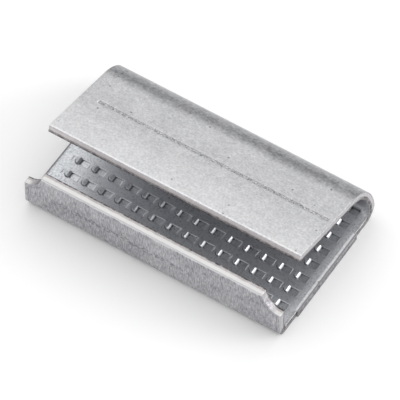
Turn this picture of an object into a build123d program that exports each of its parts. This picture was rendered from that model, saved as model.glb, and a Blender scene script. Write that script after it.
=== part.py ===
from build123d import *

import os

# Strapping seal for plastic strap: one strip of zinc-coated sheet steel, punched with grip teeth and
# folded to an open C. The long side lies along X, the lip stands at the front (-Y), the heel is at the
# rear and the flap leans over the seat, open towards the front. The seat rests on Z = 0, and the origin
# is under the middle of the folded section. Sizes are in millimetres and angles in degrees.

# Sheet and length
sheet = 0.9
seal_length = 32.0
tongue_reach = 0.2
flap_setback = 0.35

# Folded section, from the lip round to the front edge of the flap
lip_height = 6.4
lip_bend_radius = 0.4
seat_width = 16.05
heel_radius = 0.85
crown_radius = 4.5
flap_slope = 13.6
flap_length = 10.8

# Cut ends and rolled edges
notch_radius = 2.2
tongue_width = 11.8
tongue_roll_width = 0.45
tongue_roll_depth = 0.1
setback_rise = 3.2
flap_edge_radius = 0.2
lip_edge_radius = 0.1

# Grip teeth on the seat: a half-round burr stands up at the deep end of a pit that runs out along the seat
tooth_pitch = 2.13
row_pitch = 2.05
end_margin = 2.1
row_margin = 2.0
tooth_width = 0.8
burr_length = 0.54
burr_height = 0.15
burr_back_height = 0.19
burr_root = 0.05
burr_facets = 6
face_run = 0.08
pit_depth = 0.15
pit_steep_length = 0.3
pit_middle_depth = 0.09
pit_shallow_length = 0.95
pit_end_depth = 0.05
pit_length = 1.15

# Stamped line along the flap, set out from the flap's front edge and its two ends
line_offset = 6.6
line_width = 0.55
line_depth = 0.07
line_left_margin = 1.95
line_right_margin = 0.45

# What follows from the sizes above
bend_outside = sheet + lip_bend_radius
heel_outside = sheet + heel_radius
width = bend_outside + seat_width + heel_outside
front = -width / 2
seat_front = front + bend_outside
seat_rear = seat_front + seat_width
half_length = seal_length / 2
tongue_end = half_length + tongue_reach
flap_end = half_length - flap_setback
reach = width + lip_height


def folded_strip():
    # The inner face is drawn from the lip's top edge to the flap's front edge, then given its thickness
    with BuildSketch(Plane.YZ) as section:
        with BuildLine():
            lip = Line((front + sheet, lip_height), (front + sheet, bend_outside))
            bend = JernArc(lip @ 1, lip % 1, lip_bend_radius, 90)
            seat = Line(bend @ 1, bend @ 1 + Vector(seat_width, 0))
            heel = JernArc(seat @ 1, seat % 1, heel_radius, 90)
            crown = JernArc(heel @ 1, heel % 1, crown_radius, 90 - flap_slope)
            Line(crown @ 1, crown @ 1 + crown % 1 * flap_length)
            offset(amount=sheet, side=Side.RIGHT)
        make_face()
        fillet(section.vertices().sort_by(Axis.Y)[-1], flap_edge_radius)
        fillet(section.vertices().sort_by(Axis.X)[:2].sort_by(Axis.Y)[-1], lip_edge_radius)
    return extrude(section.sketch, amount=tongue_end, both=True)


def plan_outline():
    # Seen from above: the seal's length over its whole width, and the seat's tongue a little proud of it
    with BuildSketch() as outline:
        Rectangle(seal_length, width)
        with Locations((0, (seat_front + seat_rear) / 2)):
            Rectangle(2 * tongue_end, tongue_width)
    return extrude(outline.sketch, amount=reach)


def right_end_cuts():
    # The flap's end is set back, in a slant that runs up the heel
    with BuildSketch(Plane.XZ) as setback:
        with BuildLine():
            Polyline(
                (half_length, heel_outside),
                (flap_end, heel_outside + setback_rise),
                (flap_end, reach),
                (reach, reach),
                (reach, heel_outside),
                close=True,
            )
        make_face()
    slant = Pos(0, seat_front, 0) * extrude(setback.sketch, amount=-reach)
    # A quarter round is punched out of the lip's top corner
    notch = Pos(half_length, front, lip_height) * Rot(90, 0, 0) * Cylinder(notch_radius, 2 * bend_outside)
    # The tongue's upper edge is rolled over by the cutting tool
    with BuildSketch(Plane.XZ) as roll:
        with BuildLine():
            Polyline(
                (tongue_end - tongue_roll_width, sheet),
                (tongue_end, sheet - tongue_roll_depth),
                (tongue_end, sheet),
                close=True,
            )
        make_face()
    edge = Pos(0, (seat_front + seat_rear) / 2, 0) * extrude(roll.sketch, amount=tongue_width / 2, both=True)
    return [slant, notch, edge]


def pit_tool():
    # The left side is the tooth's biting face: it leans back through the sheet's surface at x = 0, from the
    # pit's deepest line to over the burr. The floor rises towards +X, and the tool reaches up past the
    # start of the heel's bend.
    lean = face_run / (burr_height + pit_depth)
    with BuildSketch(Plane.XZ) as side:
        with BuildLine():
            Polyline(
                (-lean * heel_radius, heel_radius),
                (lean * pit_depth, -pit_depth),
                (pit_steep_length, -pit_middle_depth),
                (pit_shallow_length, -pit_end_depth),
                (pit_length, 0),
                (pit_length, heel_radius),
                close=True,
            )
        make_face()
    return extrude(side.sketch, amount=tooth_width / 2, both=True)


def burr():
    # A half-round petal, folded in short flats along its arc; its top falls a little towards the biting face
    with BuildSketch(Plane.XZ) as side:
        with BuildLine():
            Polyline(
                (0, -burr_root),
                (0, burr_height),
                (-burr_length, burr_back_height),
                (-burr_length, -burr_root),
                close=True,
            )
        make_face()
    with BuildSketch(Plane.XY.offset(-burr_root)) as petal:
        with BuildLine():
            arc = ThreePointArc(
                (0, tooth_width / 2),
                (-burr_length, 0),
                (0, -tooth_width / 2),
                mode=Mode.PRIVATE,
            )
            Polyline([arc @ (step / burr_facets) for step in range(burr_facets + 1)], close=True)
        make_face()
    block = extrude(side.sketch, amount=tooth_width, both=True)
    return block & extrude(petal.sketch, amount=burr_root + burr_back_height)


def tooth_places():
    # Columns fill the length between the end margins; the last row stands on the start of the heel's bend
    columns = int((seal_length - 2 * end_margin) / tooth_pitch) + 1
    rows = int((seat_width + heel_radius / 2 - row_margin) / row_pitch) + 1
    middle = seat_front + row_margin + (rows - 1) * row_pitch / 2
    return Pos(0, middle, sheet) * GridLocations(tooth_pitch, row_pitch, columns, rows)


def stamped_line():
    # Set out in the flap's own slope: from the crown's centre, the flap's top face is one crown radius
    # and one sheet up, and its front edge is one flap length forward
    slope = Pos(0, seat_rear + heel_radius - crown_radius, heel_outside) * Rot(-flap_slope, 0, 0)
    left = line_left_margin - flap_end
    right = flap_end - line_right_margin
    place = Pos((left + right) / 2, line_offset - flap_length, crown_radius + sheet)
    return slope * place * Box(right - left, line_width, 2 * line_depth)


seal_body = folded_strip() & plan_outline()
for cut in right_end_cuts():
    seal_body -= [cut, mirror(cut, about=Plane.YZ)]
seal_body += [place * burr() for place in tooth_places()]
seal_body -= [place * pit_tool() for place in tooth_places()]
seal_body -= stamped_line()

os.makedirs("parts", exist_ok=True)
export_step(seal_body, "parts/seal_body.step")
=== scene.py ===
import math
from types import SimpleNamespace

import bpy
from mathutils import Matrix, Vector

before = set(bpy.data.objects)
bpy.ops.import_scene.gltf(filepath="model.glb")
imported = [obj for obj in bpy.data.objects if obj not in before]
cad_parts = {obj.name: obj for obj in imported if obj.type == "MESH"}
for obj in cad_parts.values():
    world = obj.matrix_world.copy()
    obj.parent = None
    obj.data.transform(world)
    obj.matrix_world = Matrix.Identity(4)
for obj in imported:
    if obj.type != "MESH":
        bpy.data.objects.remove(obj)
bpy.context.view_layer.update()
mm = 0.001
print("frame loaded")


def linearColour(hexCode, alpha=1.0):
    # "#rrggbb" in sRGB to the linear values that a node socket takes
    channels = []
    for i in (1, 3, 5):
        c = int(hexCode[i:i + 2], 16) / 255
        channels.append(c / 12.92 if c <= 0.04045 else ((c + 0.055) / 1.055) ** 2.4)
    return (*channels, alpha)


def addNode(tree, kind, settings=None, **links):
    # Settings go to the node's own properties, or to its inputs by number or name. Links feed its inputs, by
    # name or as i0, i1 and so on, from a socket or from a node's first live output
    node = tree.nodes.new(kind)
    for key, value in (settings or {}).items():
        if isinstance(key, int) or not hasattr(node, key):
            node.inputs[key].default_value = value
        else:
            setattr(node, key, value)
    for key, source in links.items():
        if isinstance(source, bpy.types.Node):
            source = next(socket for socket in source.outputs if socket.enabled)
        tree.links.new(source, node.inputs[int(key[1:]) if key[1:].isdigit() else key])
    return node


# The seal: zinc-coated sheet, sheared, punched with teeth and folded. Lengths are in mm
sealLook = {
    # The folded section, for the marks that follow it
    "sheet": 0.9,
    "lipFront": -9.55,
    "crownCentre": (4.15, 1.75),
    "crownOutside": 5.4,
    "flapSlope": 13.6,          # degrees
    "flapTop": 8.077,           # the flap's top face, out from the origin along its normal
    "bendStart": -3.622,        # along the flap's slope, towards the front
    "edgeRadius": 0.09,         # worn corners
    "dirtReach": 0.3,           # how far the painted shade reaches out of a corner

    # Where the teeth stand, and the lip's notches
    "firstTooth": (-13.845, -6.25),
    "toothPitch": 2.13,
    "rowPitch": 2.05,
    "cellStart": 1.35,          # a tooth's own stretch of seat ends here, past its crest
    "toothHalf": 0.4,
    "pitLength": 1.15,
    "petalCentre": -0.122,      # a burr's outline, from its tooth's crest
    "notchCentre": (16.0, 6.4),
    "notchRadius": 2.2,
    "rimFoot": 0.35,            # the line along the lip's outline keeps this far above the floor

    # Zinc and bare steel
    "darkZinc": "#7d7e82",
    "brightZinc": "#f0f0f1",
    "shear": "#dcdbda",         # polished first by the shear, torn after
    "torn": "#b3adae",

    # Uneven patterns: size, detail and stretch. A skin-pass roll leaves grain of about 0.05 mm, drawn coarser
    # here so that it shows
    "patterns": {
        "grain": (0.22, 3.0, (1, 1, 1)),
        "flecks": (0.45, 2.0, (1, 1, 1)),
        "blotch": (1.0, 3.0, (1, 1, 1)),
        "cloud": (4.0, 2.0, (1, 1, 1)),
        "streaks": (0.1, 3.0, (1.1, 4, 7)),     # drawn up the lip by the folding tool
        "ridges": (0.16, 1.0, (1, 0.7, 1)),     # in the stamped line
        "dashes": (0.4, 1.0, (1.2, 1, 0.7)),    # in the line along the lip
    },
    "speckSpacing": 1.0,
    "speckSize": 0.17,
    "speckCore": 0.4,           # the share of a speck that is fully dark

    # Stripes: centre, half width and blur
    "stripes": {
        "bend": (-5.722, 1.6, 1.3),             # along the flap's slope
        "line": (0.578, 0.27, 0.03),
        "nearLine": (0.578, 0.6, 0.1),
        "hem": (7.0, 0.06, 0.04),
        "hemLine": (0.62, 0.16, 0.08),          # by the share of the normal that points out of the flap
        "seatTop": (0.9, 0.04, 0.01),           # by height
        "burrTop": (1.08, 0.06, 0.02),
        "pitEnd": (0.76, 0.05, 0.04),
        "biting": (0.9, 0.2, 0.02),
        "rollOver": (0.9, 0.2, 0.1),
        "lipLine": (3.3, 0.3, 0.15),
        "score": (1.18, 0.04, 0.03),            # past a tooth's crest, and across its row
        "scoreLength": (0.0, 0.34, 0.03),
        "burrFoot": (0.458, 0.04, 0.03),        # from the petal's centre, just outside its radius of 0.418
        "pitRim": (0.04, 0.04, 0.03),           # out from the pit's sides and end
        "rim": (0.42, 0.08, 0.06),              # in from the lip's outline
        "seam": (0.06, 0.05, 0.03),             # by depth in the sheet
    },

    # Limits: where a layer turns off and where it is fully on
    "limits": {
        "facingEnd": (0.6, 0.9),                # share of the normal that points along an axis
        "facingEndFully": (0.8, 0.9),
        "facingFront": (-0.5, -0.9),
        "facingAside": (0.6, 0.3),
        "facingUp": (0.8, 0.95),
        "facingUpMostly": (0.7, 0.9),
        "facingUpPartly": (0.5, 0.8),
        "leaning": (0.98, 0.9),
        "leavingFlap": (0.75, 0.4),
        "endPlace": (15.2, 15.4),               # out from the middle
        "tipPlace": (15.96, 16.02),
        "rollPlace": (14.8, 16.3),
        "shortOfEnds": (15.7, 15.4),
        "shortOfRight": (15.9, 15.4),
        "towardsLeft": (-12.0, -15.5),          # along the seal
        "teethFrom": (-14.6, -14.5),
        "teethTo": (15.15, 15.1),
        "scoreTo": (14.0, 13.9),
        "lineFrom": (-13.7, -13.65),
        "lineTo": (15.2, 15.15),
        "lipLineFrom": (-13.5, -12.5),
        "lipLineTo": (6.0, 1.0),
        "lipThickness": (-8.55, -8.65),         # across the seal
        "lipFace": (-9.2, -9.3),
        "behindLip": (0.9, 1.2),
        "heelward": (6.0, 8.0),
        "pastLipBend": (1.4, 1.6),              # up from the floor
        "pastHeel": (2.0, 3.0),
        "crownHigh": (1.3, 2.5),
        "seatLow": (2.2, 1.2),
        "baseLow": (1.3, 0.95),
        "heelLow": (7.0, 5.5),
        "lipBrow": (6.0, 6.2),
        "hemPlace": (6.9, 7.0),                 # along the flap's slope
        "browPlace": (1.0, 7.0),
        "flapUnder": (6.9, 7.0),                # up from the flap's slope
        "nearFlapTop": (7.5, 7.6),
        "flapTop": (7.7, 7.8),
        "outer": (0.3, 0.2),                    # deep in the sheet
        "inner": (0.55, 0.7),
        "tornBand": (0.42, 0.6),
        "flapBurr": (0.5, 0.58),
        "endBurr": (0.46, 0.56),
        "burr": (0.72, 0.8),
        "beforeCrest": (0.03, -0.03),           # from a tooth's crest
        "pastCrest": (-0.03, 0.03),
        "atCrest": (-0.2, -0.02),
        "speckChoice": (0.7, 0.75),             # of a pattern's own value
        "dashes": (-0.05, 0.1),
        "seamBreaks": (-0.12, 0.02),
        "corner": (0.995, 0.9),                 # how far the rounded normal turns, and how open a corner is
        "closedIn": (0.9, 0.55),
    },

    # What the layers do, each by its amount on top of the start: the tone from dark to bright zinc, the roughness,
    # the relief in mm, and the uneven lines that the edges' bands and the lip's brow follow
    "tone": {
        "start": 0.56, "grain": 0.65, "flecks": 0.3, "blotch": 0.15, "cloud": 0.22, "specks": -0.5,
        "line": -0.16, "lineRidges": 1.7, "score": -0.3, "brow": 0.17, "bend": -0.36, "bendFlecks": 0.35,
        # lipFront darkens the lip's front, partly tool-rubbed zinc and partly a painted shade
        "lipFront": -0.34, "lipStreaks": 1.9, "lipCloud": 0.4, "lipRim": -0.25, "lipBrow": 1.0, "lipLine": -0.6,
        # inside and crownInside lighten the fold's inner faces, a painted fill light
        "inside": 0.4, "crownInside": 0.35, "seatLeft": -0.3, "insideGrain": 1.6, "insideFlecks": 0.5,
        "corner": 0.2, "burrTop": -0.06, "pitEnd": -0.3, "burrFoot": -0.8, "pitRim": 0.45, "hem": 0.15,
        "biting": 0.4, "crest": 0.2,
    },
    "roughness": {
        "start": 0.38, "grain": 0.15, "cloud": 0.12, "cut": 0.08, "line": 0.12, "lipFront": 0.04,
        "corner": -0.08, "biting": 0.2, "seatInside": 0.05,
    },
    "relief": {
        "start": 0.0, "grain": 0.006, "cloud": 0.012, "specks": -0.01, "lineRidges": 0.03, "score": -0.02,
        "cutWaves": 0.03, "lipStreaks": 0.012, "rollOver": -0.09, "burrFoot": -0.02, "pitRim": -0.02,
        "lipBrow": -0.08, "bitingLean": -0.5, "crest": -0.1,
    },
    "bandLine": {"start": 0.0, "depth": 1.0, "blotch": 0.25, "grain": 0.12},
    "browLine": {"start": 0.0, "z": 1.0, "blotch": 0.4},
    "rubbed": {"start": 0.2, "grain": 1.4, "flecks": 0.8},

    # Tints over the zinc and over the cut steel, from the bottom up: colour and amount
    "zincTints": {
        "lipFront": ("#a29fa8", 0.3),           # rubbed by the folding tools
        "crownInside": ("#a29fa8", 0.5),
        "seatInside": ("#c3c9d0", 0.4),         # nothing rubbed it here; the pale tint also lightens the seat, a painted fill light
        # painted shade in closed-in corners
        "dirt": ("#4c4e52", 0.75),
        "tongueTip": ("#7b797e", 0.9),
    },
    "steelTints": {
        "dullCut": ("#b8b6b9", 1.0),
        "flapCut": ("#cbc5c7", 1.0),
        # hemLine, seam and the three burr bands are painted shade lines along the cut edges
        "hemLine": ("#77747a", 1.0),
        "seam": ("#77747a", 1.0),
        "base": ("#7b797e", 1.0),
        "flapBurr": ("#857e80", 1.0),
        "endBurr": ("#413a3b", 1.0),
        "burr": ("#413a3b", 1.0),
        "rubbed": ("#dcdbda", 1.0),
    },
}


def addUp(tree, at, amounts):
    # The start, plus each layer times its amount
    total = None
    for name, amount in amounts.items():
        if name != "start":
            settings = {"operation": "MULTIPLY_ADD", 1: amount, 2: amounts["start"]}
            links = {"i0": getattr(at, name)} if total is None else {"i0": getattr(at, name), "i2": total}
            total = addNode(tree, "ShaderNodeMath", settings, **links)
    return total


def combine(tree, operation, *values):
    # One operation over any number of values
    total = values[0]
    for value in values[1:]:
        total = addNode(tree, "ShaderNodeMath", {"operation": operation}, i0=total, i1=value)
    return total


def region(tree, *parts):
    # Where all the parts hold. A part is a layer, or a value and the name of its limit
    layers = []
    for part in parts:
        if isinstance(part, tuple):
            value, name = part
            off, on = sealLook["limits"][name]
            part = addNode(tree, "ShaderNodeMapRange", {"interpolation_type": "SMOOTHSTEP", 1: off, 2: on}, i0=value)
        layers.append(part)
    return combine(tree, "MULTIPLY", *layers)


def apart(tree, value, centre=0.0):
    # How far a value is from the centre, on either side of it
    away = addNode(tree, "ShaderNodeMath", {"operation": "SUBTRACT", 1: centre}, i0=value)
    return addNode(tree, "ShaderNodeMath", {"operation": "ABSOLUTE"}, i0=away)


def stripe(tree, value, name):
    centre, halfWidth, blur = sealLook["stripes"][name]
    return addNode(tree, "ShaderNodeMapRange", {"interpolation_type": "SMOOTHSTEP", 1: halfWidth + blur,
                                                2: halfWidth - blur}, i0=apart(tree, value, centre))


def paint(tree, at, colour, tints):
    # Each tint covers what is under it, where its layer is
    for name, (hexCode, amount) in tints.items():
        share = addNode(tree, "ShaderNodeMath", {"operation": "MULTIPLY", 1: amount}, i0=getattr(at, name))
        colour = addNode(tree, "ShaderNodeMix", {"data_type": "RGBA", 7: linearColour(hexCode)}, i0=share, i6=colour)
    return colour


def readPlace(tree):
    # Where a point is on the folded sheet, in mm, and which way it faces
    at = SimpleNamespace()
    coords = addNode(tree, "ShaderNodeTexCoord").outputs
    at.place = addNode(tree, "ShaderNodeVectorMath", {"operation": "SCALE", "Scale": 1 / mm}, i0=coords["Object"])
    at.x, at.y, at.z = addNode(tree, "ShaderNodeSeparateXYZ", i0=at.place).outputs
    at.nx, at.ny, at.nz = addNode(tree, "ShaderNodeSeparateXYZ", i0=coords["Normal"]).outputs
    at.fromMiddle = apart(tree, at.x)
    slope = math.radians(sealLook["flapSlope"])
    down, out = (0, -math.cos(slope), math.sin(slope)), (0, math.sin(slope), math.cos(slope))
    at.along = addNode(tree, "ShaderNodeVectorMath", {"operation": "DOT_PRODUCT", 1: down}, i0=at.place)
    at.height = addNode(tree, "ShaderNodeVectorMath", {"operation": "DOT_PRODUCT", 1: out}, i0=at.place)
    at.facing = addNode(tree, "ShaderNodeVectorMath", {"operation": "DOT_PRODUCT", 1: out}, i0=coords["Normal"])

    # How deep in the sheet, from its outer face: the crown and heel, or the flap, then the seat and the lip
    yCrown, zCrown = sealLook["crownCentre"]
    rise = addNode(tree, "ShaderNodeMath", {"operation": "SUBTRACT", 1: zCrown}, i0=at.z)
    rise = addNode(tree, "ShaderNodeMath", {"operation": "MAXIMUM", 1: 0.0}, i0=rise)
    reach = addNode(tree, "ShaderNodeMath", {"operation": "SUBTRACT", 1: yCrown}, i0=at.y)
    spoke = addNode(tree, "ShaderNodeCombineXYZ", i0=reach, i1=rise)
    radius = addNode(tree, "ShaderNodeVectorMath", {"operation": "LENGTH"}, i0=spoke)
    inCrown = addNode(tree, "ShaderNodeMath", {"operation": "SUBTRACT", 0: sealLook["crownOutside"]}, i1=radius)
    inFlap = addNode(tree, "ShaderNodeMath", {"operation": "SUBTRACT", 0: sealLook["flapTop"]}, i1=at.height)
    onFlap = addNode(tree, "ShaderNodeMath", {"operation": "GREATER_THAN", 1: sealLook["bendStart"]}, i0=at.along)
    inTop = addNode(tree, "ShaderNodeMix", {"data_type": "FLOAT"}, i0=onFlap, i2=inCrown, i3=inFlap)
    at.inLip = addNode(tree, "ShaderNodeMath", {"operation": "SUBTRACT", 1: sealLook["lipFront"]}, i0=at.y)
    at.depth = combine(tree, "MINIMUM", at.z, inTop, at.inLip)
    return at


def addPatterns(tree, at):
    # Soft noise around zero, and small round specks in some of the cells of a net
    for name, (grain, detail, stretch) in sealLook["patterns"].items():
        shrink = tuple(1 / (grain * longer) for longer in stretch)
        spot = addNode(tree, "ShaderNodeVectorMath", {"operation": "MULTIPLY", 1: shrink}, i0=at.place)
        noise = addNode(tree, "ShaderNodeTexNoise", {"Scale": 1.0, "Detail": detail}, Vector=spot)
        setattr(at, name, addNode(tree, "ShaderNodeMath", {"operation": "SUBTRACT", 1: 0.5}, i0=noise))
    cells = addNode(tree, "ShaderNodeTexVoronoi", {"Scale": 1 / sealLook["speckSpacing"]}, Vector=at.place)
    speckSize = sealLook["speckSize"] / sealLook["speckSpacing"]
    dots = addNode(tree, "ShaderNodeMapRange", {"interpolation_type": "SMOOTHSTEP", 1: speckSize,
                                                2: speckSize * sealLook["speckCore"]}, i0=cells.outputs["Distance"])
    choice = addNode(tree, "ShaderNodeSeparateColor", i0=cells.outputs["Color"]).outputs[0]
    at.specks = region(tree, dots, (choice, "speckChoice"))


def addFaces(tree, at):
    # Cut edges: both ends, the lip's top with its notches, and the flap's front
    at.ends = region(tree, (apart(tree, at.nx), "facingEnd"), (at.fromMiddle, "endPlace"))
    at.lipCut = region(tree, (at.y, "lipThickness"), (at.z, "pastLipBend"), (apart(tree, at.ny), "facingAside"))
    at.flapCut = region(tree, (at.along, "hemPlace"), (at.height, "flapUnder"),
                        (apart(tree, at.facing), "leavingFlap"))
    at.cut = combine(tree, "MAXIMUM", at.ends, at.lipCut, at.flapCut)
    at.cutWaves = region(tree, at.cut, at.blotch)

    # The sheet's outer and inner sides, the bend behind the flap, and the flap's top, painted lighter towards its
    # front as painted light, with a painted highlight along its front edge
    outer = region(tree, (at.depth, "outer"))
    at.bend = region(tree, stripe(tree, at.along, "bend"), outer, (at.z, "pastHeel"))
    at.bendFlecks = region(tree, at.bend, at.flecks)
    at.brow = region(tree, (at.along, "browPlace"), outer)
    at.hem = region(tree, stripe(tree, at.along, "hem"), outer)
    # The fold's inner faces, which the tone lightens as a painted fill light
    at.inside = region(tree, (at.depth, "inner"), (at.inLip, "behindLip"), (at.x, "shortOfRight"))
    at.insideGrain = region(tree, at.inside, at.grain)
    at.insideFlecks = region(tree, at.inside, at.flecks)
    at.crownInside = region(tree, at.inside, (at.z, "crownHigh"))
    at.seatInside = region(tree, at.inside, (at.z, "seatLow"))
    # The seat's inside painted darker towards the left end, a painted shade
    at.seatLeft = region(tree, at.seatInside, (at.x, "towardsLeft"))

    # The tongues' upper edges, rolled over by the shear
    at.tongueTip = region(tree, (at.fromMiddle, "tipPlace"), (at.nz, "facingUpPartly"))
    at.rollOver = region(tree, (at.fromMiddle, "rollPlace"), stripe(tree, at.z, "rollOver"))


def addStampedLine(tree, at):
    at.line = region(tree, stripe(tree, at.along, "line"), (at.height, "flapTop"), (at.x, "lineFrom"),
                     (at.x, "lineTo"))
    at.lineRidges = region(tree, at.line, at.ridges)
    at.nearLine = region(tree, stripe(tree, at.along, "nearLine"), (at.height, "nearFlapTop"))


def addToothMarks(tree, at):
    # Along and across from the crest of the tooth that a point belongs to
    firstX, firstY = sealLook["firstTooth"]
    pastFirst = addNode(tree, "ShaderNodeMath", {"operation": "SUBTRACT", 1: firstX}, i0=at.x)
    pastCrest = addNode(tree, "ShaderNodeMath", {"operation": "WRAP", 1: sealLook["cellStart"],
                                                 2: sealLook["cellStart"] - sealLook["toothPitch"]}, i0=pastFirst)
    behindFirst = addNode(tree, "ShaderNodeMath", {"operation": "SUBTRACT", 1: firstY}, i0=at.y)
    across = addNode(tree, "ShaderNodeMath", {"operation": "WRAP", 1: sealLook["rowPitch"] / 2,
                                              2: -sealLook["rowPitch"] / 2}, i0=behindFirst)
    seatTop = region(tree, stripe(tree, at.z, "seatTop"), (at.nz, "facingUp"))

    # A short line scored between two teeth
    at.score = region(tree, stripe(tree, pastCrest, "score"), stripe(tree, across, "scoreLength"), seatTop,
                      (at.x, "scoreTo"))

    # The sheet sinks a little along each tooth's outline: round the burr, with a painted shade at its foot, and
    # along the pit's sides and end, with a painted highlight on the pit's rim
    toothed = region(tree, seatTop, (at.x, "teethFrom"), (at.x, "teethTo"))
    fromPetal = addNode(tree, "ShaderNodeMath", {"operation": "SUBTRACT", 1: sealLook["petalCentre"]}, i0=pastCrest)
    fromPetal = addNode(tree, "ShaderNodeCombineXYZ", i0=fromPetal, i1=across)
    fromPetal = addNode(tree, "ShaderNodeVectorMath", {"operation": "LENGTH"}, i0=fromPetal)
    at.burrFoot = region(tree, stripe(tree, fromPetal, "burrFoot"), (pastCrest, "beforeCrest"), toothed)
    pastSide = addNode(tree, "ShaderNodeMath", {"operation": "SUBTRACT", 1: sealLook["toothHalf"]},
                       i0=apart(tree, across))
    pastEnd = addNode(tree, "ShaderNodeMath", {"operation": "SUBTRACT", 1: sealLook["pitLength"]}, i0=pastCrest)
    at.pitRim = region(tree, stripe(tree, combine(tree, "MAXIMUM", pastSide, pastEnd), "pitRim"),
                       (pastCrest, "pastCrest"), toothed)
    # A painted shade over the pit's deep floor
    at.pitEnd = stripe(tree, at.z, "pitEnd")

    # The burr's top, with a painted highlight at its crest, and the biting face, which leans back as it rises and
    # carries a painted highlight
    at.burrTop = region(tree, stripe(tree, at.z, "burrTop"), (at.nz, "facingUpMostly"))
    at.crest = region(tree, at.burrTop, (pastCrest, "atCrest"))
    at.biting = region(tree, (at.nx, "facingEndFully"), stripe(tree, at.z, "biting"), (at.fromMiddle, "shortOfEnds"))
    up = addNode(tree, "ShaderNodeMath", {"operation": "SUBTRACT", 1: sealLook["sheet"]}, i0=at.z)
    at.bitingLean = region(tree, at.biting, up)


def addLipMarks(tree, at):
    at.lipFront = region(tree, (at.ny, "facingFront"), (at.y, "lipFace"))
    at.lipStreaks = region(tree, at.lipFront, at.streaks)
    at.lipCloud = region(tree, at.lipFront, at.cloud)

    # A faint line follows the lip's outline, round its notches
    notchX, notchZ = sealLook["notchCentre"]
    fromEnd = addNode(tree, "ShaderNodeMath", {"operation": "SUBTRACT", 0: notchX}, i1=at.fromMiddle)
    fromTop = addNode(tree, "ShaderNodeMath", {"operation": "SUBTRACT", 1: notchZ}, i0=at.z)
    fromFoot = addNode(tree, "ShaderNodeMath", {"operation": "SUBTRACT", 1: sealLook["rimFoot"]}, i0=at.z)
    fromNotch = addNode(tree, "ShaderNodeCombineXYZ", i0=fromEnd, i1=fromTop)
    fromNotch = addNode(tree, "ShaderNodeVectorMath", {"operation": "LENGTH"}, i0=fromNotch)
    fromNotch = addNode(tree, "ShaderNodeMath", {"operation": "SUBTRACT", 1: sealLook["notchRadius"]}, i0=fromNotch)
    inward = combine(tree, "MINIMUM", fromEnd, fromFoot, fromNotch)
    at.lipRim = region(tree, stripe(tree, inward, "rim"), at.lipFront)

    # The lip's front turns in at its top, unevenly, with a painted highlight along that brow, and a broken line runs
    # along its middle
    at.lipBrow = region(tree, (addUp(tree, at, sealLook["browLine"]), "lipBrow"), at.lipFront)
    at.lipLine = region(tree, stripe(tree, at.z, "lipLine"), (at.x, "lipLineFrom"), (at.x, "lipLineTo"),
                        at.lipFront, (at.dashes, "dashes"))


def addWear(tree, at):
    # Corners rounded by the shear and the folding tool are lighter, partly from wear and partly as a painted
    # highlight, and closed-in corners get a painted shade, but not the shallow stamped line
    at.rounded = addNode(tree, "ShaderNodeBevel", {"samples": 8, "Radius": sealLook["edgeRadius"] * mm})
    flat = addNode(tree, "ShaderNodeNewGeometry").outputs["Normal"]
    turn = addNode(tree, "ShaderNodeVectorMath", {"operation": "DOT_PRODUCT"}, i0=at.rounded, i1=flat)
    at.corner = region(tree, (turn, "corner"))
    openness = addNode(tree, "ShaderNodeAmbientOcclusion", {"samples": 8, "Distance": sealLook["dirtReach"] * mm})
    clear = addNode(tree, "ShaderNodeMapRange", {"interpolation_type": "SMOOTHSTEP", 1: 1.0, 2: 0.0}, i0=at.nearLine)
    at.dirt = region(tree, (openness.outputs["AO"], "closedIn"), clear)


def addCutBands(tree, at):
    # From the outer face in: a broken dark line at the corner, which is painted shade, the polished band, the torn
    # one and the burr, painted dark as a shade line. The bands are dull at the ends and in the notches, and darkest
    # where the ends meet the seat and the heel
    at.band = addUp(tree, at, sealLook["bandLine"])
    at.tornBand = region(tree, (at.band, "tornBand"))
    at.dullCut = combine(tree, "MAXIMUM", at.ends, region(tree, at.lipCut, (at.nz, "leaning")))
    at.seam = region(tree, stripe(tree, at.depth, "seam"), at.ends, (at.flecks, "seamBreaks"))
    at.hemLine = region(tree, stripe(tree, at.facing, "hemLine"), (at.along, "hemPlace"))
    at.base = region(tree, (at.z, "baseLow"))
    heel = region(tree, (at.y, "heelward"), (at.z, "heelLow"))
    at.flapBurr = region(tree, at.flapCut, (at.band, "flapBurr"))
    at.endBurr = region(tree, combine(tree, "MAXIMUM", at.base, heel), (at.band, "endBurr"))
    at.burr = region(tree, (at.band, "burr"))
    at.rubbed = addUp(tree, at, sealLook["rubbed"])


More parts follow.
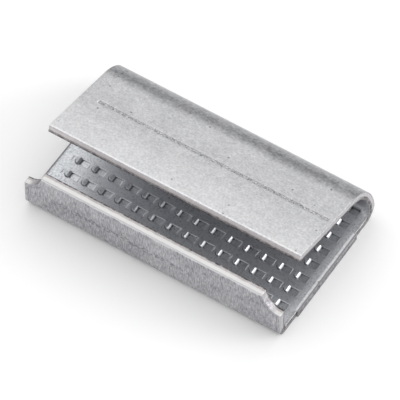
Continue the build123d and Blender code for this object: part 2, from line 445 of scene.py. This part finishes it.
def galvanisedSheet():
    # Hot-dip galvanised sheet steel, skin-passed, sheared, punched and folded. To the eye it is a satin grey metal:
    # fine pebbled grain under a cloudy tone, small dark specks, tool-rubbed bends, and cut edges with a polished
    # band over a dull torn one
    # Painted shade and highlights also stand in for light: in closed-in corners, round the teeth, along the cut
    # edges, on the flap, on the lip and inside the fold
    mat = bpy.data.materials.new("galvanisedSheetSteel")
    mat.use_nodes = True
    tree = mat.node_tree
    tree.nodes.clear()
    at = readPlace(tree)
    addPatterns(tree, at)
    addFaces(tree, at)
    addStampedLine(tree, at)
    addToothMarks(tree, at)
    addLipMarks(tree, at)
    addWear(tree, at)
    addCutBands(tree, at)

    zinc = addNode(tree, "ShaderNodeMix", {"data_type": "RGBA", 6: linearColour(sealLook["darkZinc"]),
                                           7: linearColour(sealLook["brightZinc"])},
                   i0=addUp(tree, at, sealLook["tone"]))
    zinc = paint(tree, at, zinc, sealLook["zincTints"])
    steel = addNode(tree, "ShaderNodeMix", {"data_type": "RGBA", 6: linearColour(sealLook["shear"]),
                                            7: linearColour(sealLook["torn"])}, i0=at.tornBand)
    steel = paint(tree, at, steel, sealLook["steelTints"])
    colour = addNode(tree, "ShaderNodeMix", {"data_type": "RGBA"}, i0=at.cut, i6=zinc, i7=steel)
    bump = addNode(tree, "ShaderNodeBump", {"Strength": 1.0, "Distance": mm},
                   Height=addUp(tree, at, sealLook["relief"]), Normal=at.rounded)
    shader = addNode(tree, "ShaderNodeBsdfPrincipled", {"Metallic": 1.0}, i0=colour,
                     Roughness=addUp(tree, at, sealLook["roughness"]), Normal=bump)
    addNode(tree, "ShaderNodeOutputMaterial", Surface=shader)
    return mat


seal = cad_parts["seal_body"]
seal.data.materials.clear()
seal.data.materials.append(galvanisedSheet())
print("seal: galvanised sheet on the folded body")

studio = {
    "floor": "#fdfdfd",
    "floorSize": 2.0,               # m
    "floorRoughness": 0.9,
    "horizon": 0.3,                 # brightness of the tent at the horizon, and overhead
    "zenith": 1.05,
    "zenithFrom": 0.6,              # the upward share of a direction from which it is at its brightest
    "aim": (0.46, -0.67, 2.85),     # mm
    "azimuth": 32.59,               # degrees, from the front towards +X
    "elevation": 54.58,
    "distance": 483.0,              # mm
    "lens": 408.7,
    "clip": (0.05, 10.0),           # m
    "lamps": [                      # name, azimuth, elevation, distance and size in m, watts
        ("keySoftbox", 205, 62, 1.0, 1.1, 0.7),
        ("sideSoftbox", 121, 14, 1.0, 0.6, 4.0),
    ],
}


def lookFrom(azimuth, elevation):
    a, e = math.radians(azimuth), math.radians(elevation)
    return Vector((math.sin(a) * math.cos(e), -math.cos(a) * math.cos(e), math.sin(e)))


def buildFloor():
    # Matte seamless paper, without a gloss
    half = studio["floorSize"] / 2
    mesh = bpy.data.meshes.new("studioFloor")
    mesh.from_pydata([(-half, -half, 0), (half, -half, 0), (half, half, 0), (-half, half, 0)], [], [(0, 1, 2, 3)])
    floor = bpy.data.objects.new("studioFloor", mesh)
    bpy.context.collection.objects.link(floor)
    mat = bpy.data.materials.new("matteStudioPaper")
    mat.use_nodes = True
    shader = mat.node_tree.nodes["Principled BSDF"]
    shader.inputs["Base Color"].default_value = linearColour(studio["floor"])
    shader.inputs["Roughness"].default_value = studio["floorRoughness"]
    mesh.materials.append(mat)


def buildTent():
    # A white tent around the table, darker low down
    world = bpy.data.worlds.new("softTent")
    world.use_nodes = True
    tree = world.node_tree
    ray = addNode(tree, "ShaderNodeTexCoord").outputs["Generated"]
    lift = addNode(tree, "ShaderNodeSeparateXYZ", i0=ray).outputs[2]
    glow = addNode(tree, "ShaderNodeMapRange", {"interpolation_type": "SMOOTHSTEP", 2: studio["zenithFrom"],
                                                3: studio["horizon"], 4: studio["zenith"]}, i0=lift)
    background = tree.nodes["Background"]
    background.inputs["Color"].default_value = (1, 1, 1, 1)
    tree.links.new(glow.outputs[0], background.inputs["Strength"])
    bpy.context.scene.world = world


def buildLamp(name, azimuth, elevation, distance, size, power):
    data = bpy.data.lights.new(name, "AREA")
    data.shape = "DISK"
    data.size = size
    data.energy = power
    lamp = bpy.data.objects.new(name, data)
    away = lookFrom(azimuth, elevation)
    lamp.location = away * distance
    lamp.rotation_euler = away.to_track_quat("Z", "Y").to_euler()
    bpy.context.collection.objects.link(lamp)


def buildCamera():
    data = bpy.data.cameras.new("photoCamera")
    data.lens = studio["lens"]
    data.clip_start, data.clip_end = studio["clip"]
    cam = bpy.data.objects.new("photoCamera", data)
    back = lookFrom(studio["azimuth"], studio["elevation"])
    cam.location = (Vector(studio["aim"]) + back * studio["distance"]) * mm
    cam.rotation_euler = (math.radians(90 - studio["elevation"]), 0, math.radians(studio["azimuth"]))
    bpy.context.collection.objects.link(cam)
    bpy.context.scene.camera = cam


buildFloor()
buildTent()
for lamp in studio["lamps"]:
    buildLamp(*lamp)
buildCamera()
bpy.context.scene.view_settings.view_transform = "Standard"     # plain white stays white, as in the photograph
print("studio: floor, tent, lamps and camera")
